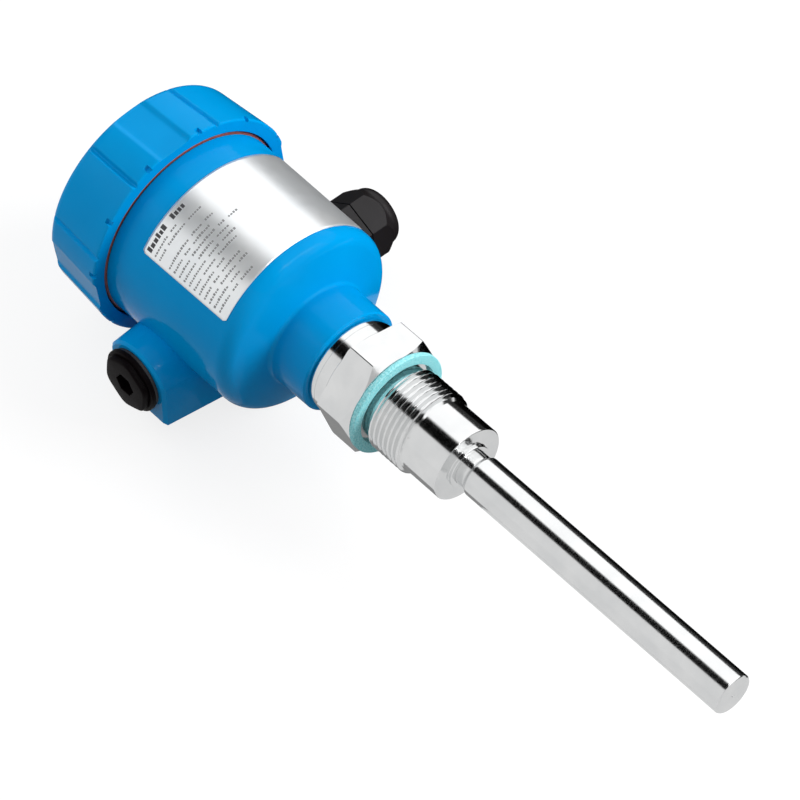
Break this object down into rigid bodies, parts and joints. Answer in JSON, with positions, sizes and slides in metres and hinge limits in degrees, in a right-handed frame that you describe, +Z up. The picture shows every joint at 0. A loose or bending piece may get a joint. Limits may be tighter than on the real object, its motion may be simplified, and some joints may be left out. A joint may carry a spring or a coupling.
{
  "type": "vibrating rod level switch",
  "caption": "Vibrating rod level switch: steel rod probe with G1 thread and hexagon, blue plastic terminal housing with screw cover, silver nameplate, black cable gland and blind plug",
  "frame": {"origin": "on the probe axis, in the outer face of the process seal that meets the vessel", "axes": "+X along the probe towards the rod tip, +Y towards the cable gland, +Z up through the nameplate"},
  "size_m": [0.3025, 0.1227, 0.0904],
  "materials": {
    "stainless_steel": "turned and polished stainless steel",
    "ceramic": "fired ceramic, pale cream",
    "brass": "plain brass",
    "potting_resin": "cast resin, dark",
    "red_lead": "insulated lead",
    "seal_fibre": "pressed fibre, mottled teal",
    "black_rubber": "soft black rubber",
    "red_rubber": "soft red-brown rubber",
    "blue_plastic": "moulded plastic, satin",
    "silver_film": "silver film, satin",
    "grey_plastic": "moulded plastic, dark grey",
    "board_green": "lacquered circuit board",
    "white_plastic": "moulded plastic, off-white",
    "transformer_core": "wound core in varnish",
    "green_plastic": "moulded plastic, green",
    "red_lens": "clear red lens",
    "black_plastic": "moulded polyamide, fine satin"
  },
  "bodies": {
    "probe": {"process_connection": "stainless_steel", "vibrating_rod": "stainless_steel", "inner_resonator": "stainless_steel", "drive_membrane": "stainless_steel", "piezo_discs": "ceramic", "electrode_plates": "brass", "insulating_rings": "ceramic", "tension_bolt": "stainless_steel", "clamp_nut": "stainless_steel", "potting_plug": "potting_resin", "sensor_lead": "red_lead", "process_seal": "seal_fibre", "shank_seal": "black_rubber", "retaining_ring": "stainless_steel"},
    "housing": {"housing_body": "blue_plastic", "cover_seal": "red_rubber", "nameplate": "silver_film", "electronics_module": "grey_plastic", "circuit_board": "board_green", "output_relay": "white_plastic", "supply_transformer": "transformer_core", "module_screws": "stainless_steel", "terminal_block": "green_plastic", "terminal_screws": "brass", "ground_terminal": "brass", "ground_screw": "stainless_steel", "signal_lamp": "red_lens", "mode_switch_frame": "white_plastic", "gland_body": "black_plastic", "gland_body_seal": "black_rubber", "gland_insert": "black_rubber", "blind_plug": "black_plastic", "blind_plug_seal": "black_rubber"},
    "cover": {"housing_cover": "blue_plastic"},
    "gland_nut": {"gland_nut": "black_plastic"},
    "switch_point_knob": {"switch_point_knob": "white_plastic"},
    "mode_switch": {"mode_switch": "black_plastic"}
  },
  "joints": [
    {"name": "housing_swivel", "type": "hinge", "parent": "probe", "child": "housing", "pos_m": [0, 0, 0], "axis": [1, 0, 0], "range_deg": [-165, 165]},
    {"name": "cover_slide", "type": "slide", "parent": "housing", "child": "cover", "axis": [-1, 0, 0], "range_m": [0, 0.04]},
    {"name": "gland_nut_turn", "type": "hinge", "parent": "housing", "child": "gland_nut", "pos_m": [-0.085, 0.06, -0.023], "axis": [0, 1, 0], "range_deg": [0, 540]},
    {"name": "switch_point_turn", "type": "hinge", "parent": "housing", "child": "switch_point_knob", "pos_m": [-0.075, -0.018, -0.002], "axis": [-1, 0, 0], "range_deg": [-135, 135]},
    {"name": "mode_switch_slide", "type": "slide", "parent": "housing", "child": "mode_switch", "axis": [0, 1, 0], "range_m": [0, 0.003]}
  ]
}
